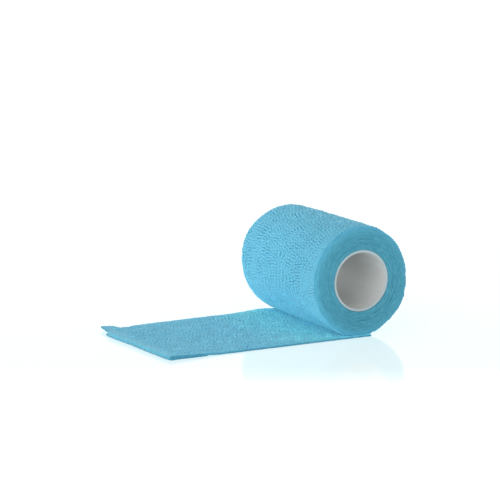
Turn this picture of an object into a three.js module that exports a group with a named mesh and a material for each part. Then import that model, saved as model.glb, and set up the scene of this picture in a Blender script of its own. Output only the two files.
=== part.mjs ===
// Support tape roll: a cohesive crepe tape wound on a stiff white tube, lying on
// its side with its loose end run out on the surface and folded under as a tab.
//
// Millimetres, +Z up. X runs along the tape (the loose end lies towards -X),
// Y is the roll's own axis. The origin is on the surface, under the roll's
// centre, on the flat underside of the tape.

import * as THREE from 'three';

// ---------------------------------------------------------------- dimensions
const TAPE_WIDTH = 75;            // cut width of the tape
const HALF = TAPE_WIDTH / 2;
const ROLL_RX = 26.33;            // half width of the wound form
const ROLL_RZ = 27.07;            // half height of the wound form
const ROLL_CZ = 27.84;            // height of the roll's axis
const TURN = 0.55;                // thickness of one wound turn
const FLAT_Z = 1.3;               // height of the small flat spot
const FAR_SCALE = 0.985;          // the far end is wound a little tighter

const CORE_X = 0.1;               // the tube sits a touch off the roll's centre
const CORE_Z = ROLL_CZ + 0.35;
const CORE_OUTER = 15.7;          // tube outer radius
const CORE_WALL = 1.3;
const CORE_LENGTH = 74.4;         // 0.3 short of the tape at each end
const CORE_EDGE = 0.25;           // broken edge at the tube's ends
const GAP = 0.3;                  // clearance between neighbouring pieces
const BORE = CORE_OUTER + GAP;

const SHEET = 1.0;                // thickness of the loose tape, crinkles included
const TAIL_X0 = 5.2;              // end of the loose tape under the roll
const TAIL_X1 = -106.3;           // the folded end
const FLAP_X = -86.0;             // cut edge of the folded-under tab
const LAYER_GAP = 0.3;            // space between the two layers of the fold
const FLAP_FAR_Y = 31.0;          // the tab stops short of the far edge

// ---------------------------------------------------------------- helpers
function meshGeometry(positions, index) {
  const g = new THREE.BufferGeometry();
  g.setAttribute('position', new THREE.Float32BufferAttribute(positions, 3));
  g.setIndex(index);
  return g;
}

// A closed tube-like solid between two families of rings with n points each.
// outer[s] and inner[s] are the rings at station s, all in the same order,
// running anticlockwise when seen from the side of the first station.
function ringSolid(outer, inner) {
  const n = outer[0].length, m = outer.length;
  const pos = [], idx = [];
  for (const ring of outer) for (const p of ring) pos.push(...p);
  for (const ring of inner) for (const p of ring) pos.push(...p);
  const O = (s, i) => s * n + (i % n);
  const I = (s, i) => (m + s) * n + (i % n);
  for (let s = 0; s < m - 1; s++) {
    for (let i = 0; i < n; i++) {
      idx.push(O(s, i), O(s, i + 1), O(s + 1, i + 1), O(s, i), O(s + 1, i + 1), O(s + 1, i));
      idx.push(I(s, i), I(s + 1, i + 1), I(s, i + 1), I(s, i), I(s + 1, i), I(s + 1, i + 1));
    }
  }
  for (let i = 0; i < n; i++) {
    idx.push(O(0, i), I(0, i), I(0, i + 1), O(0, i), I(0, i + 1), O(0, i + 1));
    const e = m - 1;
    idx.push(O(e, i), I(e, i + 1), I(e, i), O(e, i), O(e, i + 1), I(e, i + 1));
  }
  return meshGeometry(pos, idx);
}

// ---------------------------------------------------------------- core tube
function coreGeometry() {
  const h = CORE_LENGTH / 2, ri = CORE_OUTER - CORE_WALL, ro = CORE_OUTER, c = CORE_EDGE;
  const profile = [
    [ri + c, -h], [ro - c, -h], [ro, -h + c], [ro, h - c],
    [ro - c, h], [ri + c, h], [ri, h - c], [ri, -h + c], [ri + c, -h],
  ].map(([x, y]) => new THREE.Vector2(x, y));
  return new THREE.LatheGeometry(profile, 72);
}

// ---------------------------------------------------------------- wound roll
// Edge rounding at the two ends: how far in from the end face, and how far the
// outline is drawn in there.
const EDGE_TABLE = [
  { fromEnd: 0.0, drawnIn: 1.30 },
  { fromEnd: 0.2, drawnIn: 0.75 },
  { fromEnd: 0.6, drawnIn: 0.30 },
  { fromEnd: 1.3, drawnIn: 0.00 },
];
// Slow unevenness of the winding around the roll: lobes per turn, height, phase.
const LOBE_TABLE = [
  { lobes: 3, height: 0.10, phase: 0.6 },
  { lobes: 5, height: 0.05, phase: 2.1 },
];
const RING_POINTS = 96;

function rollStations() {
  const out = [];
  for (const r of EDGE_TABLE) out.push({ y: -HALF + r.fromEnd, inset: r.drawnIn });
  for (const f of [-0.5, 0, 0.5]) out.push({ y: f * HALF, inset: 0 });
  for (const r of [...EDGE_TABLE].reverse()) out.push({ y: HALF - r.fromEnd, inset: r.drawnIn });
  return out;
}

function rollGeometry() {
  const outer = [], inner = [];
  for (const { y, inset } of rollStations()) {
    const scale = 1 + (FAR_SCALE - 1) * (y + HALF) / TAPE_WIDTH;
    const o = [], b = [];
    for (let i = 0; i < RING_POINTS; i++) {
      // a = 0 at the bottom, running up the right (+X) side, over and down
      const a = 2 * Math.PI * i / RING_POINTS;
      let r = 0;
      for (const l of LOBE_TABLE) r += l.height * Math.cos(l.lobes * a + l.phase);
      r += TURN * (0.5 - a / (2 * Math.PI));          // the spiral's one turn
      const x = Math.sin(a) * ((ROLL_RX + r) * scale - inset);
      let z = ROLL_CZ - Math.cos(a) * ((ROLL_RZ + r) * scale - inset);
      z = Math.max(z, FLAT_Z + inset * 0.5);
      o.push([x, y, z]);
      b.push([CORE_X + Math.sin(a) * BORE, y, CORE_Z - Math.cos(a) * BORE]);
    }
    outer.push(o);
    inner.push(b);
  }
  return ringSolid(outer, inner);
}

// ---------------------------------------------------------------- loose end
// Middle line of the tape, from under the roll to the folded end and back
// along the tab below: x along the tape, z of the middle line.
const LOW = SHEET / 2;
const HIGH = SHEET + LAYER_GAP + SHEET / 2;
const NOSE = (HIGH - LOW) / 2;
const TAIL_TABLE = [
  { x: TAIL_X0, z: LOW },
  { x: -8, z: LOW },
  { x: -20, z: LOW },
  { x: -34, z: LOW },
  { x: -48, z: LOW },
  { x: -62, z: LOW },
  { x: -78.5, z: LOW },
  { x: -80.5, z: LOW + 0.18 },
  { x: -84.0, z: HIGH - 0.18 },
  { x: -86.0, z: HIGH },
  { x: -95, z: HIGH },
  { x: TAIL_X1 + LOW + NOSE, z: HIGH },
];
// Unevenness across the width: y, how far the folded end reaches past the
// straight line, and how far the upper layer lifts there.
const WIDTH_TABLE = [
  { y: -HALF, reach: 0.0, lift: 0.0 },
  { y: -30.0, reach: 0.0, lift: 0.0 },
  { y: -20.0, reach: 0.1, lift: 0.0 },
  { y: -8.0, reach: -0.1, lift: 0.1 },
  { y: 6.0, reach: 0.0, lift: 0.0 },
  { y: 18.0, reach: 0.2, lift: 0.1 },
  { y: 26.0, reach: 0.2, lift: 0.3 },
  { y: FLAP_FAR_Y, reach: 0.5, lift: 0.8 },
  { y: 34.5, reach: 1.1, lift: 1.5 },
  { y: HALF, reach: 1.8, lift: 2.0 },
];
const FAR_EDGE_IN = 0.7;          // far edge drawn in at the folded end
const LIFT_START = -95;           // the lift begins here along the tape
const NOSE_STEPS = 6;             // points round the fold, an even number

// The folded tape's section at one place across the width, as named runs of
// [x, z] points: the upper side, the outer and inner rounds of the fold, the
// tab below, and the underside.
function tailRuns(row) {
  const h = SHEET / 2;
  const smooth = (t) => { const c = Math.min(1, Math.max(0, t)); return c * c * (3 - 2 * c); };
  const lift = (x) => row.lift * smooth((LIFT_START - x) / (LIFT_START - TAIL_X1));
  const reach = (x) => row.reach * smooth((x + 80) / (TAIL_X1 + 80));
  const top = [], under = [], outside = [], inside = [];
  for (let i = 0; i < TAIL_TABLE.length; i++) {
    const p = TAIL_TABLE[i];
    const a = TAIL_TABLE[Math.max(0, i - 1)];
    const b = TAIL_TABLE[Math.min(TAIL_TABLE.length - 1, i + 1)];
    const dx = b.x - a.x, dz = b.z - a.z, d = Math.hypot(dx, dz);
    const nx = dz / d, nz = -dx / d;                  // the tape's upper normal
    top.push([p.x + nx * h, p.z + nz * h]);
    under.push([p.x - nx * h, Math.max(0, p.z - nz * h)]);
  }
  const cx = TAIL_X1 + LOW + NOSE, cz = (HIGH + LOW) / 2;
  for (let k = 1; k <= NOSE_STEPS; k++) {
    const a = Math.PI * k / NOSE_STEPS;
    outside.push([cx - Math.sin(a) * (NOSE + h), cz + Math.cos(a) * (NOSE + h), 1 - k / NOSE_STEPS]);
    inside.push([cx - Math.sin(a) * (NOSE - h), cz + Math.cos(a) * (NOSE - h), 1 - k / NOSE_STEPS]);
  }
  const put = ([x, z, f = 1]) => [x - reach(x) * (0.4 + 0.6 * f), z + lift(x) * f];
  return {
    top: top.map(put),
    outside: outside.map(put),
    inside: inside.map(put),
    under: under.map(put),
    tab: [[-96, 0], [FLAP_X, 0], [FLAP_X, SHEET], [-96, SHEET]],
  };
}

// The outer and inner sides run in step, so the sides, ends and edges of the
// sheet are all strips of four-sided cells.
function tailGeometry() {
  const pos = [], idx = [];
  const place = (row, pts) => pts.map(([x, z]) => {
    const t = Math.min(1, Math.max(0, x / TAIL_X1)) * (row.y + HALF) / TAPE_WIDTH;
    pos.push(x, row.y - FAR_EDGE_IN * t, z);
    return pos.length / 3 - 1;
  });
  const strip = (a, b, closed) => {
    const n = closed ? a.length : a.length - 1;
    for (let i = 0; i < n; i++) {
      const j = (i + 1) % a.length;
      idx.push(a[i], a[j], b[j], a[i], b[j], b[i]);
    }
  };
  const ring = (outer, inner) => [...outer, ...[...inner].reverse()];
  const upper = TAIL_TABLE.length + NOSE_STEPS / 2;   // cells of the upper layer
  let last = null;
  for (const row of WIDTH_TABLE) {
    const r = tailRuns(row);
    const whole = row.y <= FLAP_FAR_Y;
    let outer = [...r.top, ...r.outside, r.tab[0], r.tab[1]];
    let inner = [...r.under, ...r.inside, r.tab[3], r.tab[2]];
    if (!whole) {
      outer = outer.slice(0, upper);
      inner = inner.slice(0, upper);
    }
    const o = place(row, outer), n = place(row, inner);
    if (last === null) strip(o, n, false);
    else strip(ring(o, n), last, true);
    last = ring(o, n);
    if (row.y === FLAP_FAR_Y) {
      // the tab ends here; only the upper layer goes on to the far edge
      strip(n.slice(upper - 1), o.slice(upper - 1), false);
      last = ring(o.slice(0, upper), n.slice(0, upper));
    }
    if (row.y === HALF) strip(n, o, false);
  }
  return meshGeometry(pos, idx);
}

// Signed volume decides whether the faces point out; if not, they are turned.
function orient(geometry) {
  const p = geometry.attributes.position, ix = geometry.index.array;
  const a = new THREE.Vector3(), b = new THREE.Vector3(), c = new THREE.Vector3();
  let v = 0;
  for (let i = 0; i < ix.length; i += 3) {
    a.fromBufferAttribute(p, ix[i]);
    b.fromBufferAttribute(p, ix[i + 1]);
    c.fromBufferAttribute(p, ix[i + 2]);
    v += a.dot(b.cross(c)) / 6;
  }
  if (v < 0) {
    for (let i = 0; i < ix.length; i += 3) {
      const t = ix[i + 1];
      ix[i + 1] = ix[i + 2];
      ix[i + 2] = t;
    }
  }
  return geometry;
}

// ---------------------------------------------------------------- the object
const tape = new THREE.MeshStandardMaterial({ color: 0x5fb4d5, roughness: 0.9, metalness: 0 });
const tube = new THREE.MeshStandardMaterial({ color: 0xe6e7e8, roughness: 0.5, metalness: 0 });

const group = new THREE.Group();

const core = new THREE.Mesh(coreGeometry(), tube);
core.name = 'core';
core.position.set(CORE_X, 0, CORE_Z);
group.add(core);

const roll = new THREE.Mesh(orient(rollGeometry()), tape);
roll.name = 'wound_roll';
group.add(roll);

const tail = new THREE.Mesh(orient(tailGeometry()), tape.clone());
tail.name = 'loose_end';
group.add(tail);

export default group;
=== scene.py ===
"""Looks of a roll of crinkled cohesive support tape on a white tube, lying on its
side with its loose end run out and folded under. Metres, the frame's own axes:
Z up, Y along the roll's axis, the loose end towards -X."""
import math

import bpy
import numpy as np
from mathutils import Matrix, Vector


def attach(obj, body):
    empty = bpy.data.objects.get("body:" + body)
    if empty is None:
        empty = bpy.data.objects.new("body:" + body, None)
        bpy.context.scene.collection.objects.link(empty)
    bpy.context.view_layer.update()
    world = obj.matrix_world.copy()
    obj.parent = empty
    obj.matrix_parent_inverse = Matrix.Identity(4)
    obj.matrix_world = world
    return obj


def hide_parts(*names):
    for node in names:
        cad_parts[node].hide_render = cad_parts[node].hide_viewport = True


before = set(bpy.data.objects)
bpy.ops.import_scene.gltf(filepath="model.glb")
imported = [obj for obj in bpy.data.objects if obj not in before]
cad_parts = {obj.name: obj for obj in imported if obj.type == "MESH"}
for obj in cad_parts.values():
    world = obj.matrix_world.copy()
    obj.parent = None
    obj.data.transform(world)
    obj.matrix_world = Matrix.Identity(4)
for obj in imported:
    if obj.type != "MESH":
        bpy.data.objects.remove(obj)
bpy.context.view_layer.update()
MM = 0.001

# ------------------------------------------------------------------ the camera
AZ, EL = math.radians(-28.89), math.radians(10.965)
DIST, TARGET = 1.58095, Vector((-0.04061, 0.00113, 0.04064))
back = Vector((math.sin(AZ) * math.cos(EL), -math.cos(AZ) * math.cos(EL), math.sin(EL)))
cam_data = bpy.data.cameras.new("camera")
cam_data.sensor_fit = "HORIZONTAL"
cam_data.sensor_width = 36.0
cam_data.lens = 36.0 * 3200.0 / 500.0
cam_data.clip_start, cam_data.clip_end = 0.05, 60.0
cam = bpy.data.objects.new("camera", cam_data)
bpy.context.scene.collection.objects.link(cam)
cam.matrix_world = Matrix.Translation(TARGET + back * DIST) @ back.to_track_quat("Z", "Y").to_matrix().to_4x4()
bpy.context.scene.camera = cam

# ------------------------------------------------------------------ dimensions (mm), as in the frame
HALF = 37.5                     # half the tape's width
ROLL_RX, ROLL_RZ, ROLL_CZ = 26.33, 27.07, 27.84
FAR_SCALE = 0.985
TURN = 0.57                     # one wound turn
TURNS = 19                      # turns between tube and outside
END_HALF = 38.9                 # the end faces stand out a little in their middle
CORE_X, CORE_Z, CORE_R, CORE_WALL, CORE_HALF = -0.15, ROLL_CZ + 0.30, 15.35, 1.25, 38.5
TAIL_X0, TAIL_X1, FLAP_X, FLAP_FAR_Y = 5.2, -107.2, -86.0, 27.0
LOBES = ((3, 0.10, 0.6), (5, 0.05, 2.1))
# where the outside is fuller: degrees from the bottom up the +X side, breadth, mm at each end
FULLER = ((-16, 13, 0.85, 0.30), (62, 24, 0.65, 0.0), (240, 20, 0.0, 0.55), (196, 18, 0.0, -0.45))


RELIEF, RELIEF_TAIL = 0.27, 0.19       # height of the crinkles, mm for one standard deviation
OUT_BASE, RIM_DROP = 0.17, 0.34         # the outermost turn's lie, mm


# ------------------------------------------------------------------ helpers
def smooth(t):
    t = np.clip(t, 0.0, 1.0)
    return t * t * (3 - 2 * t)


def ring_noise(shape, step, pitch, width, lean, spread, floor, seed, one_way=False):
    """Unit-variance wrinkles on a grid of step (mm, mm): pitch = their spacing along and
    across the tape, lean = which way they repeat (0 along the tape, 90 across it), to both
    sides unless one_way."""
    n0, n1 = shape[0] + 16, shape[1] + 16
    white = np.random.default_rng(seed).standard_normal((n0, n1))
    k0 = np.fft.fftfreq(n0, step[0])[:, None] * pitch[0]
    k1 = np.fft.fftfreq(n1, step[1])[None, :] * pitch[1]
    turn = np.degrees(np.arctan2(np.abs(k1), np.abs(k0))) - lean
    if one_way:
        turn = (np.degrees(np.arctan2(k1, k0)) - lean + 90) % 180 - 90
    filt = np.exp(-0.5 * ((np.hypot(k0, k1) - 1) / width) ** 2) * (floor + (1 - floor) * np.exp(-((turn / spread) ** 2)))
    out = np.fft.ifft2(np.fft.fft2(white) * filt).real[: shape[0], : shape[1]]
    return out / out.std()


def low_noise(shape, step, size, seed):
    """Unit-variance soft unevenness with features of about size (mm, mm)."""
    n0, n1 = shape[0] + 32, shape[1] + 32
    rng = np.random.default_rng(seed)
    white = rng.standard_normal((n0, n1))
    k0 = np.fft.fftfreq(n0, step[0])[:, None]
    k1 = np.fft.fftfreq(n1, step[1])[None, :]
    filt = np.exp(-2.0 * ((k0 * size[0]) ** 2 + (k1 * size[1]) ** 2))
    out = np.fft.ifft2(np.fft.fft2(white) * filt).real[: shape[0], : shape[1]]
    return out / out.std()


def line_noise(n, corr, seed, wrap=False):
    rng = np.random.default_rng(seed)
    white = rng.standard_normal(n if wrap else n + 8 * int(corr) + 8)
    k = np.fft.fftfreq(len(white))
    out = np.fft.ifft(np.fft.fft(white) * np.exp(-2.0 * (k * corr) ** 2)).real[:n]
    return out / out.std()


def crinkle(shape, step, threads, seed, cross=0.0):
    """Height (unit variance, roughly -2..2) of the crepe: short wrinkles across the tape
    some 1.5 mm apart, and elastic threads along it every 2.8 mm, which show more where
    threads (0..1) is high. The two break each other up into a fine maze, less so where
    cross (0..1) is high and the wrinkles run on for some 6 mm."""
    a = ring_noise(shape, step, (1.50, 2.2), 0.17, 0, 38, 0.05, seed)
    d = ring_noise(shape, step, (1.50, 2.1), 0.20, 0, 900, 1.0, seed + 2)
    t = ring_noise(shape, step, (2.3, 2.8), 0.20, 90, 27, 0.04, seed + 3)
    mix = np.clip(threads + 0.24 * low_noise(shape, step, (9.0, 6.0), seed + 6), 0, 1)
    if np.any(cross):
        a = a + cross * (1.05 * ring_noise(shape, step, (1.45, 4.2), 0.22, 0, 30, 0.03, seed + 8) - a)
    h = (1 - mix) * (1.00 * a + (0.70 - 0.30 * cross) * d) + mix * (0.92 * t + 0.66 * d)
    h = h * (1.0 + 0.18 * low_noise(shape, step, (8.0, 8.0), seed + 4))
    return np.clip(h / h.std(), -2.4, 2.4)


def new_mesh(name, verts, faces, attrs=None, smooth_faces=True):
    """verts in mm (n,3); faces a list of arrays (quads or triangles); attrs name -> (n,) or (n,3)."""
    mesh = bpy.data.meshes.new(name)
    polys = [tuple(int(i) for i in f) for f in faces]
    mesh.from_pydata((np.asarray(verts) * MM).tolist(), [], polys)
    mesh.update()
    if smooth_faces:
        mesh.polygons.foreach_set("use_smooth", [True] * len(mesh.polygons))
    for key, val in (attrs or {}).items():
        val = np.asarray(val, np.float32)
        if val.ndim == 1:
            mesh.attributes.new(key, "FLOAT", "POINT").data.foreach_set("value", val)
        else:
            mesh.attributes.new(key, "FLOAT_VECTOR", "POINT").data.foreach_set("vector", val.ravel())
    obj = bpy.data.objects.new(name, mesh)
    bpy.context.scene.collection.objects.link(obj)
    return obj


def grid_quads(idx, flip=False):
    a, b, c, d = idx[:-1, :-1].ravel(), idx[1:, :-1].ravel(), idx[1:, 1:].ravel(), idx[:-1, 1:].ravel()
    q = np.stack([a, b, c, d], 1)
    return q[:, ::-1] if flip else q


# ------------------------------------------------------------------ materials
def nodes_of(name):
    mat = bpy.data.materials.new(name)
    mat.use_nodes = True
    nt = mat.node_tree
    bsdf = nt.nodes["Principled BSDF"]
    return mat, nt, bsdf


def node(nt, kind, **props):
    n = nt.nodes.new(kind)
    for k, v in props.items():
        setattr(n, k, v)
    return n


def ramp(nt, stops):
    n = nt.nodes.new("ShaderNodeValToRGB")
    n.color_ramp.interpolation = "EASE"
    while len(n.color_ramp.elements) < len(stops):
        n.color_ramp.elements.new(0.5)
    for e, (p, c) in zip(n.color_ramp.elements, stops):
        e.position = p
        e.color = (*c, 1.0)
    return n


def noise(nt, vec, scale, detail=3.0, rough=0.55, dist=0.0):
    n = node(nt, "ShaderNodeTexNoise")
    n.inputs["Scale"].default_value = scale
    n.inputs["Detail"].default_value = detail
    n.inputs["Roughness"].default_value = rough
    n.inputs["Distortion"].default_value = dist
    nt.links.new(vec, n.inputs["Vector"])
    return n


def mapping(nt, vec, scale):
    n = node(nt, "ShaderNodeMapping")
    n.inputs["Scale"].default_value = scale
    nt.links.new(vec, n.inputs["Vector"])
    return n.outputs["Vector"]


def math_node(nt, op, a, b=None, clamp=False):
    n = node(nt, "ShaderNodeMath", operation=op, use_clamp=clamp)
    for i, x in enumerate((a, b)):
        if x is None:
            continue
        if isinstance(x, (int, float)):
            n.inputs[i].default_value = x
        else:
            nt.links.new(x, n.inputs[i])
    return n.outputs[0]


def mix_color(nt, fac, a, b, blend="MIX"):
    n = node(nt, "ShaderNodeMix", data_type="RGBA", blend_type=blend)
    for sock, x in ((n.inputs[0], fac), (n.inputs[6], a), (n.inputs[7], b)):
        if isinstance(x, (int, float)):
            sock.default_value = x
        elif isinstance(x, tuple):
            sock.default_value = (*x, 1.0)
        else:
            nt.links.new(x, sock)
    return n.outputs[2]


def tape_material(name, low, mid, high, fuzz, sheen, bump, cloudy):
    """Crepe nonwoven. 'tape_mm' holds the place along and across the tape in mm,
    'relief' the crinkle's height there, about -2..2, which also paints the troughs darker
    and the crests paler, 'painted_light_lift' painted light that makes the colour brighter
    and clearer, 0..1, 'painted_light_haze' painted light that makes it paler and greyer,
    0..1, 'mottle_and_painted_light' how bright the colour is, from the tape's own mottling
    and from painted light and darkening, 1 = plain."""
    mat, nt, bsdf = nodes_of(name)
    at = node(nt, "ShaderNodeAttribute", attribute_name="tape_mm")
    rel = node(nt, "ShaderNodeAttribute", attribute_name="relief")
    pos = at.outputs["Vector"]
    # painted shadow and highlight by relief: troughs painted darker and bluer, crests paler
    t = math_node(nt, "MULTIPLY_ADD", rel.outputs["Fac"], 0.30)
    t.node.inputs[2].default_value = 0.5
    speck = noise(nt, mapping(nt, pos, (1.0, 0.55, 1.0)), 2.3, 3.0, 0.6)
    fac = math_node(nt, "ADD", t, math_node(nt, "MULTIPLY", math_node(nt, "SUBTRACT", speck.outputs["Fac"], 0.5), 0.9), clamp=True)
    cr = ramp(nt, [(0.0, low), (0.5, mid), (1.0, high)])
    nt.links.new(fac, cr.inputs["Fac"])
    # broad unevenness of the dye and of the stretch
    cloud = noise(nt, mapping(nt, pos, (0.09, 0.13, 0.05)), 1.0, 3.0, 0.6)
    tone = math_node(nt, "MULTIPLY_ADD", math_node(nt, "SUBTRACT", cloud.outputs["Fac"], 0.5), cloudy)
    tone.node.inputs[2].default_value = 1.0
    col = mix_color(nt, 1.0, cr.outputs["Color"], (1, 1, 1), "MULTIPLY")
    # painted light: the colour multiplied brighter and clearer where this attribute is high
    painted_light_lift = node(nt, "ShaderNodeAttribute", attribute_name="painted_light_lift")
    col = mix_color(nt, painted_light_lift.outputs["Fac"], col, (1.14, 1.23, 1.05), "MULTIPLY")
    # painted light: the colour mixed towards a paler grey-blue where this attribute is high
    painted_light_haze = node(nt, "ShaderNodeAttribute", attribute_name="painted_light_haze")
    col = mix_color(nt, painted_light_haze.outputs["Fac"], col, (0.46, 0.56, 0.62))
    toned = node(nt, "ShaderNodeVectorMath", operation="SCALE")
    nt.links.new(col, toned.inputs[0])
    # brightness factor: the tape's own mottling together with painted light and painted darkening
    mottle_and_painted_light = node(nt, "ShaderNodeAttribute", attribute_name="mottle_and_painted_light")
    nt.links.new(math_node(nt, "MULTIPLY", tone, mottle_and_painted_light.outputs["Fac"]), toned.inputs["Scale"])
    # fine fibres lying mostly across each other
    fib_a = noise(nt, mapping(nt, pos, (5.0, 0.9, 1.0)), 1.0, 2.0, 0.6, 0.4)
    fib_b = noise(nt, mapping(nt, pos, (1.1, 4.5, 1.0)), 1.0, 2.0, 0.6, 0.4)
    fib = math_node(nt, "MAXIMUM", fib_a.outputs["Fac"], fib_b.outputs["Fac"])
    light_fib = math_node(nt, "MULTIPLY", math_node(nt, "SUBTRACT", fib, 0.58, clamp=True), fuzz)
    col2 = mix_color(nt, light_fib, toned.outputs[0], tuple(min(1.0, c * 1.25 + 0.06) for c in high))
    nt.links.new(col2, bsdf.inputs["Base Color"])
    rough = math_node(nt, "MULTIPLY_ADD", speck.outputs["Fac"], 0.16)
    rough.node.inputs[2].default_value = 0.74
    nt.links.new(rough, bsdf.inputs["Roughness"])
    bsdf.inputs["Specular IOR Level"].default_value = 0.35
    bsdf.inputs["Sheen Weight"].default_value = sheen
    bsdf.inputs["Sheen Roughness"].default_value = 0.45
    bsdf.inputs["Sheen Tint"].default_value = (0.85, 0.95, 1.0, 1.0)
    # bump: fibres over small puckers
    puck = noise(nt, mapping(nt, pos, (1.3, 0.6, 1.0)), 1.0, 3.0, 0.6, 0.3)
    hsum = math_node(nt, "ADD", math_node(nt, "MULTIPLY", fib, 0.35), math_node(nt, "MULTIPLY", puck.outputs["Fac"], 0.8))
    bp = node(nt, "ShaderNodeBump")
    bp.inputs["Strength"].default_value = bump
    bp.inputs["Distance"].default_value = 0.00035
    nt.links.new(hsum, bp.inputs["Height"])
    nt.links.new(bp.outputs["Normal"], bsdf.inputs["Normal"])
    return mat


def edge_material(name, low, mid, high, painted_groove_shade):
    """The tape's cut edges, turn upon turn: 'relief' runs 0 in the groove between two
    turns to 1 on a turn's edge, the grooves painted darker (painted shadow), 'tape_mm' is
    the place along the winding and across it, 'rim' painted rim light: the outer turns'
    edges mixed paler, towards the face colour, more up the -X side and at the top, 0..1."""
    mat, nt, bsdf = nodes_of(name)
    at = node(nt, "ShaderNodeAttribute", attribute_name="tape_mm")
    rel = node(nt, "ShaderNodeAttribute", attribute_name="relief")
    pos = at.outputs["Vector"]
    blot = noise(nt, mapping(nt, pos, (0.45, 1.2, 1.0)), 1.0, 3.0, 0.6)
    grain = noise(nt, mapping(nt, pos, (2.2, 3.0, 2.0)), 1.0, 3.0, 0.65)
    # painted shadow: the grooves between turns coloured darker than the turns' edges
    f1 = math_node(nt, "MULTIPLY", rel.outputs["Fac"], painted_groove_shade)
    f2 = math_node(nt, "MULTIPLY", math_node(nt, "SUBTRACT", blot.outputs["Fac"], 0.5), 1.5)
    f3 = math_node(nt, "MULTIPLY_ADD", grain.outputs["Fac"], 0.7)
    f3.node.inputs[2].default_value = -0.14
    fac = math_node(nt, "ADD", math_node(nt, "ADD", f1, f2), f3, clamp=True)
    cr = ramp(nt, [(0.0, low), (0.5, mid), (1.0, high)])
    nt.links.new(fac, cr.inputs["Fac"])
    rim = node(nt, "ShaderNodeAttribute", attribute_name="rim")
    # painted rim light: the outer turns' edges mixed towards the face's paler colour
    nt.links.new(mix_color(nt, rim.outputs["Fac"], cr.outputs["Color"], TAPE_MID), bsdf.inputs["Base Color"])
    bsdf.inputs["Roughness"].default_value = 0.85
    bsdf.inputs["Specular IOR Level"].default_value = 0.3
    bsdf.inputs["Sheen Weight"].default_value = 0.08
    bsdf.inputs["Sheen Roughness"].default_value = 0.5
    bp = node(nt, "ShaderNodeBump")
    bp.inputs["Strength"].default_value = 0.5
    bp.inputs["Distance"].default_value = 0.00025
    nt.links.new(grain.outputs["Fac"], bp.inputs["Height"])
    nt.links.new(bp.outputs["Normal"], bsdf.inputs["Normal"])
    return mat


def tube_material(name):
    """Moulded off-white tube: faint flow lines along it, a softly uneven gloss, and cut ends
    painted darker and bluer, a painted reflection of the blue tape around them."""
    mat, nt, bsdf = nodes_of(name)
    tc = node(nt, "ShaderNodeTexCoord")
    lines = noise(nt, mapping(nt, tc.outputs["Object"], (900.0, 25.0, 900.0)), 1.0, 3.0, 0.6)
    cloud = noise(nt, mapping(nt, tc.outputs["Object"], (60.0, 60.0, 60.0)), 1.0, 3.0, 0.5)
    cr = ramp(nt, [(0.3, (0.660, 0.668, 0.662)), (0.7, (0.708, 0.716, 0.710))])
    nt.links.new(math_node(nt, "MULTIPLY_ADD", lines.outputs["Fac"], 0.4), cr.inputs["Fac"])
    cr.inputs["Fac"].links[0].from_node.inputs[2].default_value = 0.3
    xyz = node(nt, "ShaderNodeSeparateXYZ")
    nt.links.new(tc.outputs["Object"], xyz.inputs[0])
    # painted reflection: over the last 0.6 mm at each end the colour is mixed towards a blue-grey, the tape's blue seen
    # in the cut ends
    at_end = math_node(nt, "SUBTRACT", math_node(nt, "ABSOLUTE", xyz.outputs["Y"]), (CORE_HALF - 0.6) * MM)
    cut = math_node(nt, "MULTIPLY", at_end, 1.0 / (0.4 * MM), clamp=True)
    nt.links.new(mix_color(nt, cut, cr.outputs["Color"], (0.455, 0.540, 0.570)), bsdf.inputs["Base Color"])
    r = math_node(nt, "MULTIPLY_ADD", cloud.outputs["Fac"], 0.2)
    r.node.inputs[2].default_value = 0.38
    nt.links.new(r, bsdf.inputs["Roughness"])
    bsdf.inputs["Specular IOR Level"].default_value = 0.25
    bp = node(nt, "ShaderNodeBump")
    bp.inputs["Strength"].default_value = 0.12
    bp.inputs["Distance"].default_value = 0.0002
    nt.links.new(lines.outputs["Fac"], bp.inputs["Height"])
    nt.links.new(bp.outputs["Normal"], bsdf.inputs["Normal"])
    return mat


TAPE_LOW, TAPE_MID, TAPE_HIGH = (0.067, 0.362, 0.566), (0.126, 0.504, 0.708), (0.208, 0.642, 0.834)
# painted darkening: the wound end faces and the loose end's cut walls take darker copies of the tape's own colour,
# standing in for the shadow among the packed turns and on the cut walls
EDGE_LOW, EDGE_MID, EDGE_HIGH = (0.032, 0.202, 0.300), (0.067, 0.325, 0.448), (0.126, 0.465, 0.612)
CUT_LOW, CUT_MID, CUT_HIGH = (0.055, 0.275, 0.420), (0.098, 0.415, 0.590), (0.150, 0.550, 0.760)
mat_outer = tape_material("tape_face", TAPE_LOW, TAPE_MID, TAPE_HIGH, 1.6, 0.20, 0.55, 0.16)
mat_tail = tape_material("tape_loose", TAPE_LOW, TAPE_MID, TAPE_HIGH, 1.2, 0.20, 0.45, 0.20)
mat_edge = edge_material("tape_wound_edges", EDGE_LOW, EDGE_MID, EDGE_HIGH, 0.50)
mat_cut = edge_material("tape_cut_edge", CUT_LOW, CUT_MID, CUT_HIGH, 0.06)
mat_rim = edge_material("tape_rim", TAPE_LOW, TAPE_MID, TAPE_HIGH, 0.0)
mat_tube = tube_material("tube_white")


# ------------------------------------------------------------------ the winding
def outline_r(a, y):
    """How far the outside stands beyond the plain oval, a = 0 at the bottom, up the +X side."""
    far = np.clip((y + HALF) / (2 * HALF), 0, 1)
    r = sum(h * np.cos(n * a + p) for n, h, p in LOBES)
    for at, breadth, h_near, h_far in FULLER:
        off = (np.degrees(a) - at + 180) % 360 - 180
        r = r + (h_near + (h_far - h_near) * far) * np.exp(-((off / breadth) ** 2))
    return r


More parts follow.
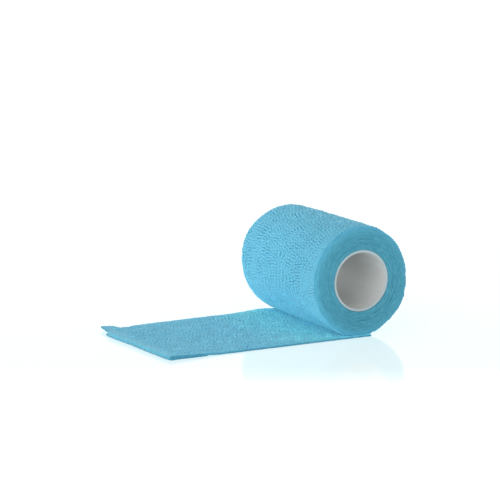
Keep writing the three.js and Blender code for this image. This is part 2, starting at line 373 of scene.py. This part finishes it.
def wind_point(t, frac, y, out=0.0):
    """t: turns wound since the tube, down the +X side and along the bottom towards -X,
    whole at the bottom; frac: 0 on a layer's inner face, 1 on its outer face. Inner turns
    follow the round tube, outer ones the oval outside; out: mm beyond that."""
    a = -2 * math.pi * t
    # the first turn thickens from its start, so the next climbs over it without a step
    below = np.where(t < 1, 0.0, t - 1 + 0.15 * np.exp(-np.clip(t - 1, 0, None) / 0.3))
    above = t + 0.15 * np.exp(-t / 0.3)
    k = (below + frac * (above - below)) / (TURNS - 0.5)
    scale = 1 + (FAR_SCALE - 1) * (y + HALF) / (2 * HALF)
    sa, ca = np.sin(a), np.cos(a)
    r = outline_r(a, y)
    cx, cz = CORE_X + sa * (CORE_R + 0.03), CORE_Z - ca * (CORE_R + 0.03)
    ox, oz = sa * (ROLL_RX + r) * scale, ROLL_CZ - ca * (ROLL_RZ + r) * scale
    return cx + (ox - cx) * k + sa * out, cz + (oz - cz) * k - ca * out


def flat_bottom(z):
    """The small flat where the roll lies on its own tape."""
    return np.maximum(z, 0.99)


def dome(dist, t):
    """How far an end face falls back towards its rim, dist mm in from the outside; less
    where the roll stands on the tape."""
    low = smooth((np.cos(2 * math.pi * t) - 0.80) / 0.18)
    return (2.10 - 1.40 * low) * np.exp(-np.clip(dist, 0, None) / 2.6)


def painted_rim_light(dist, t):
    """Painted rim light: 1 at the rim, fading inwards, further so up the -X side and at the top, where the light comes
    from.
    """
    a = -2 * math.pi * t
    return 0.85 * np.exp(-np.clip(dist, 0, None) / (1.75 - 0.55 * (np.sin(a) + np.cos(a)) * 0.707))


PER_TURN = 320
CUTS = np.array([0.0, 0.13, 0.36, 0.64, 0.87])        # places across one layer's thickness
CUT_DEPTH = np.array([1.0, 0.38, 0.06, 0.0, 0.30])    # how far each lies back, share of the groove


def end_scatter(n, seed):
    """Turn by turn the edges lie a little in or out, mm."""
    slow = line_noise(n, 90, seed) * 0.09 + line_noise(n, 22, seed + 1) * 0.06
    odd = np.clip(line_noise(n, 40, seed + 2) - 1.3, 0, None) * 0.30 - np.clip(line_noise(n, 30, seed + 3) - 1.7, 0, None) * 0.6
    return np.clip(0.20 + slow + odd, -0.25, None)


def build_inner_turns():
    n_total = PER_TURN * (TURNS - 1)                   # the outermost turn is its own piece
    i = np.arange(n_total + 1)
    t = i / PER_TURN
    verts, rel, uv, rim = [], [], [], []

    # loose: the painted rim light at these vertices, 0..1
    def add(x, y, z, r, u, w, loose=0.0):
        base = len(verts)
        rim.extend(np.broadcast_to(loose, x.shape).tolist())
        verts.extend(np.stack([x, y, z], 1).tolist())
        rel.extend(np.broadcast_to(r, x.shape).tolist())
        uv.extend(np.stack([u, np.broadcast_to(w, x.shape), y], 1).tolist())
        return np.arange(base, base + len(x))

    faces = []
    rings = {}
    mean_r = CORE_R + (ROLL_RX - CORE_R) * t / TURNS
    u_along = np.concatenate([[0], np.cumsum(0.5 * (mean_r[1:] + mean_r[:-1]) * (2 * math.pi / PER_TURN))])
    for side in (-1, 1):
        y_end = side * END_HALF
        layer = np.floor(t)
        depth = end_scatter(len(t), 40 if side < 0 else 60)
        groove = (0.21 + 0.06 * line_noise(len(t), 30, 71 + side)) * (0.35 + 0.65 * smooth((TURNS - t) * TURN / 4))
        cols = []
        for j, (w, d) in enumerate(zip(CUTS, CUT_DEPTH)):
            dd = depth + groove * d
            if j == 0:                                  # shared with the layer below
                below = np.concatenate([depth[:PER_TURN], depth[:-PER_TURN]])
                dd = np.maximum(depth, below) + groove * d
            in_from_rim = (TURNS - layer - w) * TURN
            y = y_end - side * (dd + dome(in_from_rim, t))
            x, z = wind_point(t, w, y)
            z = flat_bottom(z)
            cols.append(add(x, y, z, 1.0 - d, u_along, w, painted_rim_light(in_from_rim, t)))
        # the upper face of the last wound turn here
        last = i > n_total - PER_TURN
        tl = t[last]
        y = y_end - side * (depth[last] + groove[last] + dome((TURNS - layer[last] - 1) * TURN, tl))
        x, z = wind_point(tl, 1.0, y)
        z = flat_bottom(z)
        top_idx = add(x, y, z, 0.0, u_along[last], 1.0)
        upper = np.full(n_total + 1, -1)
        upper[: n_total + 1 - PER_TURN] = cols[0][PER_TURN:]
        upper[last] = top_idx
        grid = np.stack(cols + [upper], 1)
        rings[side] = (grid, top_idx)
        faces.extend(grid_quads(grid, flip=side < 0).tolist())
    gn, tn = rings[-1]
    gf, tf = rings[1]
    # tube side: first turn's inner face; outside: last turn's outer face; both ends of the tape
    def wall(a, b, segs, flip, outer_w):
        """A strip from the near run of vertices a to the far run b, with inner rows between."""
        rows = [a]
        pa, pb = np.array([verts[k] for k in a]), np.array([verts[k] for k in b])
        for s in range(1, segs):
            p = pa + (pb - pa) * s / segs
            rows.append(add(p[:, 0], p[:, 1], p[:, 2], 0.0, np.array([uv[k][0] for k in a]), outer_w))
        rows.append(b)
        faces.extend(grid_quads(np.stack(rows, 1), flip=flip).tolist())
        return np.stack(rows, 1)
    inner_rows = wall(gn[: PER_TURN + 1, 0], gf[: PER_TURN + 1, 0], 6, True, 0.0)
    outer_rows = wall(gn[n_total - PER_TURN:, -1], gf[n_total - PER_TURN:, -1], 6, False, 1.0)
    # start of the tape, on the tube: between the first layer's two faces
    start_n, start_f = gn[0], gf[0]
    rows0, rows1 = inner_rows[0], inner_rows[-1]
    # far column of the start wall shares the ends of inner_rows
    prev = rows0
    for j in range(1, len(start_n)):
        if j == len(start_n) - 1:
            cur = rows1
        else:
            pa, pb = np.array(verts[start_n[j]]), np.array(verts[start_f[j]])
            p = pa + (pb - pa) * (np.arange(1, 6)[:, None] / 6)
            mid = add(p[:, 0], p[:, 1], p[:, 2], 0.0, np.zeros(5), float(CUTS[j]))
            cur = np.concatenate([[start_n[j]], mid, [start_f[j]]])
        faces.extend(grid_quads(np.stack([prev, cur]), flip=False).tolist())
        prev = cur
    # end of this run of tape, under the outermost turn
    end_n, end_f = gn[-1], gf[-1]
    prev = None
    for j in range(len(end_n)):
        if j == 0:
            cur = outer_rows[0]
        elif j == len(end_n) - 1:
            cur = outer_rows[-1]
        else:
            pa, pb = np.array(verts[end_n[j]]), np.array(verts[end_f[j]])
            p = pa + (pb - pa) * (np.arange(1, 6)[:, None] / 6)
            mid = add(p[:, 0], p[:, 1], p[:, 2], 0.0, np.full(5, u_along[-1]), float(CUTS[j]))
            cur = np.concatenate([[end_n[j]], mid, [end_f[j]]])
        if prev is not None:
            faces.extend(grid_quads(np.stack([prev, cur]), flip=True).tolist())
        prev = cur
    obj = new_mesh("tape_wound_turns", np.array(verts), faces, {"relief": np.array(rel), "tape_mm": np.array(uv), "rim": np.array(rim)})
    obj.data.materials.append(mat_edge)
    return obj


inner = build_inner_turns()


def build_outer_turn():
    """The outermost turn: a sheet from the nip at the bottom, up the -X side, over and
    down the +X side to the bottom again, with its crinkles."""
    step = 0.38
    n_u = 3 * int(round(2 * math.pi * 26.7 / step / 3))
    n_v = 3 * int(round(2 * HALF / step / 3))
    du, dv = 2 * math.pi * 26.7 / n_u, 2 * HALF / n_v
    along = np.arange(n_u + 1)[:, None] * du
    threads = 0.15 + 0.74 * (1 - smooth((along - 34) / 18)) * np.ones((1, n_v + 1))
    h = crinkle((n_u + 1, n_v + 1), (du, dv), threads, 7, smooth((along - 91) / 14))
    girth = n_u * du
    h = h * (0.10 + 0.90 * smooth((np.minimum(along, girth - along) - 3) / 8))     # pressed flat below
    h = h * (0.62 + 0.38 * smooth((along - 22) / 24))
    broad = low_noise((n_u + 1, n_v + 1), (du, dv), (16.0, 24.0), 17)
    T, V = np.meshgrid(TURNS - 1 + np.arange(n_u + 1) / n_u, -HALF + dv * np.arange(n_v + 1), indexing="ij")
    # the last few mm at each end turn in to a soft rim
    edge_in = HALF - np.abs(V)
    rim = np.where(V < 0, line_noise(n_u + 1, 5, 31)[:, None], line_noise(n_u + 1, 5, 32)[:, None])
    slow = np.where(V < 0, line_noise(n_u + 1, 30, 33)[:, None], line_noise(n_u + 1, 30, 34)[:, None])
    reach = END_HALF - 0.12 - dome(0.25, T) + 0.05 * rim + 0.08 * slow
    yv = V + np.sign(V) * (reach - HALF) * np.exp(-edge_in / 2.5)
    drop = RIM_DROP * np.exp(-((edge_in / 1.5) ** 1.3))
    h = h * (1 - 0.7 * np.exp(-edge_in / 1.5))
    out = RELIEF * h + 0.10 * broad - drop + OUT_BASE + 0.06 * rim * np.exp(-edge_in / 1.0)
    ox, oz = wind_point(T, 1.0, yv, out)
    outer = np.stack([ox, yv, flat_bottom(oz)], -1)
    sl = (slice(None, None, 3), slice(None, None, 3))
    xi, zi = wind_point(T[sl], 0.0, yv[sl], 0.04 - 0.6 * drop[sl])
    inn = np.stack([xi, yv[sl], np.maximum(zi, 1.06)], -1)
    keep = np.ones((n_u // 3, n_v // 3), bool)
    # colour: soft mottling, the tape's own tone, and painted light: the low side down to the nip lifted brighter,
    # clearer and paler, the nip most and all of it more towards the far end; a band some 33 mm up the side lifted too;
    # higher up the -X side a little darker, the top near the near end a little lighter, and the whole turn darker
    # towards the near end
    far = smooth((V + 37.5) / 66)
    low = 1 - smooth((along - 6) / 26)
    belt = np.exp(-(((along - 33) / 13) ** 2))
    mottle = 0.035 * np.clip(low_noise((n_u + 1, n_v + 1), (du, dv), (1.5, 2.3), 19), -2, 2) * (1 - smooth((along - 26) / 20))
    painted_light_lift = 0.45 * (1 - smooth((along - 8) / 26)) + (0.06 + 0.28 * far) * low + 0.12 * belt
    painted_light_haze = (0.10 + 0.14 * far) * low + 0.04 * belt
    fields = {"relief": h, "painted_light_lift": painted_light_lift, "painted_light_haze": painted_light_haze, "mottle_and_painted_light": (1 + mottle + 0.055 * belt + (0.17 * far - 0.065) * low + 0.055 * smooth((along - 76) / 12) * smooth((4 - V) / 24)) * (1 - 0.07 * smooth((14 - V) / 48) - 0.04 * smooth((along - 28) / 12) * smooth((84 - along) / 16)) * (1 + 0.27 * (1 - smooth((along - 12) / 28)) + (0.22 + 0.22 * smooth((V + 28) / 45)) * (1 - smooth((along - 3) / 7)))}
    return sheet_solid("tape_outer_turn", outer, inn, fields, (T - TURNS + 1) * 168.0, V, keep, mat_outer, mat_rim)


def sheet_solid(name, outer, inner_pts, fields, U, V, keep, mat, mat_cut):
    """A closed sheet: a fine outer grid, an inner grid a third as fine, and walls between,
    its cut edges. fields: values on the outer grid by name; keep: which coarse cells are
    cloth."""
    nu, nv = outer.shape[:2]
    mu, mv = inner_pts.shape[:2]
    verts = np.concatenate([outer.reshape(-1, 3), inner_pts.reshape(-1, 3)])
    io = np.arange(nu * nv).reshape(nu, nv)
    ii = nu * nv + np.arange(mu * mv).reshape(mu, mv)
    fine = np.repeat(np.repeat(keep, 3, 0), 3, 1).ravel()
    faces = grid_quads(io)[fine].tolist() + grid_quads(ii, flip=True)[keep.ravel()].tolist()

    def wall(o, n):
        """o: four fine border vertices in order, n: the two coarse ones under their ends."""
        for tri in ((o[0], n[0], o[1]), (o[1], n[0], o[2]), (o[2], n[0], n[1]), (o[2], n[1], o[3])):
            faces.append([int(k) for k in tri])

    n_faces = len(faces)
    pad = np.pad(keep, 1)
    for i in range(mu - 1):
        for j in range(mv - 1):
            if not keep[i, j]:
                continue
            if not pad[i, j + 1]:
                wall(io[3 * i, 3 * j:3 * j + 4][::1], ii[i, j:j + 2])
            if not pad[i + 2, j + 1]:
                wall(io[3 * i + 3, 3 * j:3 * j + 4][::-1], ii[i + 1, j:j + 2][::-1])
            if not pad[i + 1, j]:
                wall(io[3 * i:3 * i + 4, 3 * j][::-1], ii[i:i + 2, j][::-1])
            if not pad[i + 1, j + 2]:
                wall(io[3 * i:3 * i + 4, 3 * j + 3], ii[i:i + 2, j + 1])
    attrs = {key: np.concatenate([f.ravel(), f[::3, ::3].ravel() * (key != "relief")]) for key, f in fields.items()}
    uv = np.concatenate([
        np.stack([U.ravel(), V.ravel(), np.zeros(nu * nv)], 1),
        np.stack([U[::3, ::3].ravel(), V[::3, ::3].ravel(), np.ones(mu * mv)], 1),
    ])
    # drop the vertices of the cells left out
    faces = [np.asarray(f) for f in faces]
    used = np.zeros(len(verts), bool)
    for f in faces:
        used[f] = True
    new = np.cumsum(used) - 1
    attrs["tape_mm"] = uv
    obj = new_mesh(name, verts[used], [new[f] for f in faces], {key: f[used] for key, f in attrs.items()})
    obj.data.materials.append(mat)
    obj.data.materials.append(mat_cut)
    slots = np.zeros(len(faces), np.int32)
    slots[n_faces:] = 1
    obj.data.polygons.foreach_set("material_index", slots)
    return obj


outer_turn = build_outer_turn()


# ------------------------------------------------------------------ the loose end
LOW, HIGH = 0.54, 1.66                          # middles of the two layers at the fold
NOSE = (HIGH - LOW) / 2
NOSE_X = TAIL_X1 + 0.54 + NOSE
# middle of the sheet and half its thickness, from under the roll out to the fold ...
RUN_X = [TAIL_X0, -60.0, -79.0, -82.0, -86.0, -90.0, -95.0, -100.0, NOSE_X]
RUN_Z = [0.49, 0.49, 0.49, 0.58, 0.88, 1.04, 1.25, 1.47, HIGH]
RUN_H = [0.49, 0.49, 0.49, 0.49, 0.49, 0.50, 0.51, 0.52, 0.54]
# ... and of the tab below, back towards the roll
TAB_X = [NOSE_X, -100.0, -95.0, -90.0, FLAP_X]
TAB_H = [0.54, 0.46, 0.36, 0.26, 0.18]
# across the width: how far the fold bows out, and how far the far edge is drawn in
BOW_Y = [-37.5, -33.8, -17.7, -1.5, 14.7, 21.0, 27.0, 37.5]
FREE_Y = [-37.5, -33.8, -17.7, -1.5, 14.7, 21.0, 23.1, 27.0, 34.0, 37.5]      # upper layer, past the fold
FREE = [-0.4, 0.3, 1.0, 1.1, 2.1, 2.1, 1.4, 0.8, -0.3, -0.9]
BOW = [-0.4, 0.3, 1.0, 1.1, 2.1, 2.2, 2.1, 2.0]
DRAW_X = [-110, -105, -102, -99, -96, -92, -88.5, -83, -74, -66, -54, -40, -30, 10]
DRAW = [0.3, 0.3, 0.8, 1.7, 2.7, 3.0, 1.8, 1.3, 0.7, 1.2, 0.3, 0.6, 0.4, 0.3]


def build_tail():
    step = 0.365
    run = np.arange(TAIL_X0, NOSE_X, -0.25)
    line = [(x, np.interp(-x, [-v for v in RUN_X], RUN_Z), np.interp(-x, [-v for v in RUN_X], RUN_H), 0.0) for x in run]
    for k, a in enumerate(np.linspace(0, math.pi, 13)):
        line.append((NOSE_X - math.sin(a) * NOSE, (HIGH + LOW) / 2 + math.cos(a) * NOSE, 0.54, a / math.pi))
    for x in np.arange(NOSE_X + 0.25, FLAP_X + 0.01, 0.25):
        hh = np.interp(x, TAB_X, TAB_H)
        line.append((x, hh, hh, 1.0))
    line = np.array(line)
    ker = np.hanning(15)
    ker /= ker.sum()
    flat = line[:, 3] == 0
    line[flat, 1] = np.convolve(np.pad(line[flat, 1], 7, mode="edge"), ker, mode="valid")
    s = np.concatenate([[0], np.cumsum(np.hypot(*np.diff(line[:, :2], axis=0).T))])
    length = s[-1]
    n_u = 3 * int(round(length / step / 3))
    n_v = 3 * int(round(2 * HALF / step / 3))
    su = np.linspace(0, length, n_u + 1)
    X, Z, HT, FOLD = (np.interp(su, s, line[:, k]) for k in range(4))
    tx, tz = np.gradient(X), np.gradient(Z)
    d = np.hypot(tx, tz)
    nx, nz = (tz / d)[:, None], (-tx / d)[:, None]      # upper side where x falls
    du, dv = length / n_u, 2 * HALF / n_v
    U, V = np.meshgrid(su, np.linspace(-HALF, HALF, n_v + 1), indexing="ij")
    h = crinkle((n_u + 1, n_v + 1), (du, dv), 0.30 + 0 * U, 107)
    slant = ring_noise((n_u + 1, n_v + 1), (du, dv), (1.7, 2.6), 0.22, 39, 15, 0.0, 131, one_way=True)
    patch = 0.55 + 0.45 * np.clip(low_noise((n_u + 1, n_v + 1), (du, dv), (12.0, 14.0), 137), -1, 1.4)
    h = np.clip(0.95 * h + (0.14 + 0.20 * np.exp(-(((U - 52) / 18) ** 2))) * patch * slant, -2.4, 2.4)
    broad = np.clip(low_noise((n_u + 1, n_v + 1), (du, dv), (9.0, 12.0), 117), -2, 2)
    xx = np.broadcast_to(X[:, None], U.shape).copy()
    zz = np.broadcast_to(Z[:, None], U.shape).copy()
    fold = np.broadcast_to(FOLD[:, None], U.shape)
    # the fold's line bows out; the tab below follows it
    low = smooth((fold - 0.5) / 0.5)
    bow = np.interp(V, FREE_Y, FREE) * (1 - low) + np.interp(V, BOW_Y, BOW) * low
    xx = xx - bow * smooth((-80 - xx) / 26)
    # past the tab's far edge the upper layer lies on the surface, its corner a little up
    off = smooth((V - (FLAP_FAR_Y - 2.5)) / 5.5) * (1 - fold)
    flat_z = 0.49 + 1.30 * smooth((-95.5 - xx) / 6)
    zz = zz + (np.minimum(zz, flat_z) - zz) * off
    # far edge drawn in, near edge nearly straight; both a little uneven
    share = np.clip((V + 8) / 45.5, 0, 1) ** 1.6
    draw = np.interp(xx, DRAW_X, DRAW) * (1 - fold) + 0.3 * fold
    wob = np.interp(xx, np.linspace(-110, 10, 241), line_noise(241, 5, 203) * 0.07)
    wob_far = np.interp(xx, np.linspace(-110, 10, 241), line_noise(241, 4, 202) * 0.14)
    yy = V - share * (draw + wob_far) + (1 - share) * wob - 1.8 * smooth((-V - 12) / 25)
    # soft unevenness of the lie and of the near edge
    inside = smooth((HALF - np.abs(V)) / 6) * smooth((-xx - 9) / 12) * (1 - fold)
    zz = zz + inside * 0.10 * np.clip(broad + 0.4, 0, 2.4)
    zz = zz + 0.85 * smooth((V - 20) / 17.5) * np.exp(-(((xx + 15) / 10) ** 2))
    edge = np.minimum(HALF - np.abs(V), 3.0)
    round_ = 0.16 * np.exp(-edge / 0.4)
    HH = HT[:, None] * (1 - 0.5 * smooth((V - 20) / 6) * low)
    zz = zz * (1 - low) + np.minimum(zz, HH + 0.02) * low + 0 * V
    under = smooth((-xx - 9.5) / 4.0)                   # pressed flat under the roll
    h = h * (1 - 0.6 * np.exp(-(HALF - np.abs(V)) / 1.3))
    up = HH - round_ * (1 - fold) + RELIEF_TAIL * h * under * (1 - 0.7 * smooth((-xx - 101) / 4)) * (1 - 0.3 * fold)
    ox, oz = xx + nx * up, zz + nz * up
    outer = np.stack([ox, yy, np.maximum(oz, 0.0)], -1)
    sl = (slice(None, None, 3), slice(None, None, 3))
    ix, iz = xx[sl] - nx[::3] * HH[sl], zz[sl] - nz[::3] * HH[sl]
    inn = np.stack([ix, yy[sl], np.maximum(iz, 0.0)], -1)
    keep = np.ones((n_u // 3, n_v // 3), bool)
    i_fold = int(np.argmax(FOLD > 0)) // 3
    i_tab = int(np.argmax(FOLD >= 0.93)) // 3
    keep[i_fold:i_tab, int(round((22.4 + HALF) / dv / 3)):] = False
    keep[i_tab:, int(round((25.8 + HALF) / dv / 3)):] = False
    # colour: softly mottled, the tape's own tone; painted light near and under the roll, where the
    # tape is lifted brighter, clearer and a little paler; a painted highlight along the fold's
    # ridge; and painted darkening over the fold, deepest below its ridge
    mottle = 0.040 * np.clip(low_noise((n_u + 1, n_v + 1), (du, dv), (1.5, 2.3), 151), -2, 2)
    painted_crest_highlight = smooth((-xx - 104.6) / 1.2) * (1 - smooth((fold - 0.25) / 0.25)) * smooth((24 - V) / 4)
    fields = {"relief": h * (1 - 0.6 * smooth((-xx - 103) / 3)), "painted_light_lift": smooth((xx + 54) / 36) * (1 - fold) + 0.25 * painted_crest_highlight,
              "painted_light_haze": 0.05 * smooth((xx + 40) / 25) * smooth((V + 30) / 40),
              "mottle_and_painted_light": (1.04 + mottle + (0.37 - 0.02 * smooth((V + 25) / 45)) * smooth((xx + 15) / 8)) * (1 - 0.10 * smooth((fold - 0.02) / 0.15)) * (1 - 0.30 * smooth((fold - 0.25) / 0.35))}
    obj = sheet_solid("tape_loose_end", outer, inn, fields, U, V, keep, mat_tail, mat_cut)
    return obj, length


tail, tail_length = build_tail()


# ------------------------------------------------------------------ the tube
def build_tube():
    n = 192
    ro, ri, h = CORE_R, CORE_R - CORE_WALL, CORE_HALF
    prof = []
    r_edge = 0.32
    def arc(cr, cy, a0, a1, m=5):
        return [(cr + r_edge * math.cos(a), cy + r_edge * math.sin(a)) for a in np.linspace(a0, a1, m)]
    prof += arc(ri + r_edge, -h + r_edge, math.pi, 1.5 * math.pi)
    prof += arc(ro - r_edge, -h + r_edge, 1.5 * math.pi, 2 * math.pi)
    prof += [(ro, -h + k * 2 * h / 8) for k in range(1, 8)]
    prof += arc(ro - r_edge, h - r_edge, 0, 0.5 * math.pi)
    prof += arc(ri + r_edge, h - r_edge, 0.5 * math.pi, math.pi)
    prof += [(ri, h - k * 2 * h / 8) for k in range(1, 8)]
    prof = np.array(prof)
    th = 2 * math.pi * np.arange(n) / n
    wob = 1 + 0.0012 * np.cos(2 * th + 0.7)
    R = prof[:, 0][None, :] * wob[:, None]
    x = CORE_X + np.sin(th)[:, None] * R
    z = CORE_Z - np.cos(th)[:, None] * R
    y = np.broadcast_to(prof[:, 1][None, :], R.shape)
    verts = np.stack([x, y, z], -1).reshape(-1, 3)
    m = len(prof)
    idx = np.arange(n * m).reshape(n, m)
    idx = np.concatenate([idx, idx[:1]], 0)
    idx = np.concatenate([idx, idx[:, :1]], 1)
    obj = new_mesh("tube", verts, grid_quads(idx, flip=False).tolist())
    obj.data.materials.append(mat_tube)
    return obj


tube = build_tube()

# faces out on every closed piece
import bmesh
for o in (inner, outer_turn, tail, tube):
    bm = bmesh.new()
    bm.from_mesh(o.data)
    bmesh.ops.recalc_face_normals(bm, faces=bm.faces)
    vol = bm.calc_volume(signed=True)
    open_edges = sum(1 for e in bm.edges if not e.is_manifold)
    print("PIECE", o.name, "faces", len(bm.faces), "tris", sum(len(f.verts) - 2 for f in bm.faces), "volume mm3", round(vol * 1e9, 1), "open edges", open_edges)
    bm.to_mesh(o.data)
    bm.free()
    o.data.polygons.foreach_set("use_smooth", [True] * len(o.data.polygons))

# ------------------------------------------------------------------ joining the frame
for piece, cad, slot in ((inner, "wound_roll", "tape"), (outer_turn, "wound_roll", "tape"),
                         (tail, "loose_end", "tape"), (tube, "core", "tube")):
    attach(piece, "root")
    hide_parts(cad)

# ------------------------------------------------------------------ floor and light
# the floor glows as well as reflecting; its glow is greener and bluer than its diffuse colour, so it reads white in the
# open and turns cyan where shadowed, a painted bounce of the tape's blue
FLOOR_COLOR, FLOOR_GLOW = (0.36, 0.265, 0.255), (0.545, 0.705, 0.722)
bpy.ops.mesh.primitive_plane_add(size=12, location=(0, 0, 0))
floor = bpy.context.active_object
floor.name = "floor"
mat, nt, bsdf = nodes_of("floor_white")
bsdf.inputs["Base Color"].default_value = (*FLOOR_COLOR, 1)
bsdf.inputs["Roughness"].default_value = 0.10
bsdf.inputs["IOR"].default_value = 1.20
bsdf.inputs["Emission Strength"].default_value = 1.0
# a touch brighter in front of the roll, nearer the viewer
tc = node(nt, "ShaderNodeTexCoord")
along = node(nt, "ShaderNodeVectorMath", operation="DOT_PRODUCT")
nt.links.new(tc.outputs["Object"], along.inputs[0])
along.inputs[1].default_value = (-0.483, -0.8755, 0.0)
near = node(nt, "ShaderNodeMapRange", interpolation_type="SMOOTHSTEP")
near.inputs["From Min"].default_value = 0.095
near.inputs["From Max"].default_value = 0.163
near.inputs["To Min"].default_value = 0.0
near.inputs["To Max"].default_value = 1.0
nt.links.new(along.outputs["Value"], near.inputs["Value"])
glow = mix_color(nt, near.outputs["Result"], FLOOR_GLOW, tuple(c + 0.36 for c in FLOOR_GLOW))
nt.links.new(glow, bsdf.inputs["Emission Color"])
floor.data.materials.append(mat)

# a soft white surround, brighter on some sides: direction, tightness, strength
AMBIENT = 0.35
SOFT = (
    ((-1.0, 0.15, 0.0), 4.0, 0.89),
    ((-0.9, 0.15, 0.4), 6.0, 0.07),
    ((-0.3, -1.0, 0.1), 3.0, 0.48),
    ((0.45, 0.88, 0.18), 2.0, 0.65),
    ((1.0, -0.1, 0.15), 2.0, 0.34),
    ((-0.7, 0.7, 0.1), 8.0, 1.50),
    ((-0.7, -0.7, 0.2), 8.0, 1.45),
    ((-0.35, 0.93, 0.05), 10.0, 1.4),
)
world = bpy.data.worlds.new("studio")
bpy.context.scene.world = world
world.use_nodes = True
wn = world.node_tree
bg = wn.nodes["Background"]
tc = wn.nodes.new("ShaderNodeTexCoord")
total = AMBIENT
for direction, tight, strength in SOFT:
    dot = node(wn, "ShaderNodeVectorMath", operation="DOT_PRODUCT")
    dot.inputs[1].default_value = Vector(direction).normalized()
    wn.links.new(tc.outputs["Generated"], dot.inputs[0])
    lobe = math_node(wn, "POWER", math_node(wn, "MAXIMUM", dot.outputs["Value"], 0.0), tight)
    total = math_node(wn, "ADD", math_node(wn, "MULTIPLY", lobe, strength), total)
wn.links.new(total, bg.inputs["Strength"])
bg.inputs["Color"].default_value = (1.0, 1.0, 1.0, 1.0)

sc = bpy.context.scene
sc.view_settings.view_transform = "Standard"
sc.view_settings.look = "None"
sc.view_settings.exposure = 0.0
sc.view_settings.gamma = 1.0
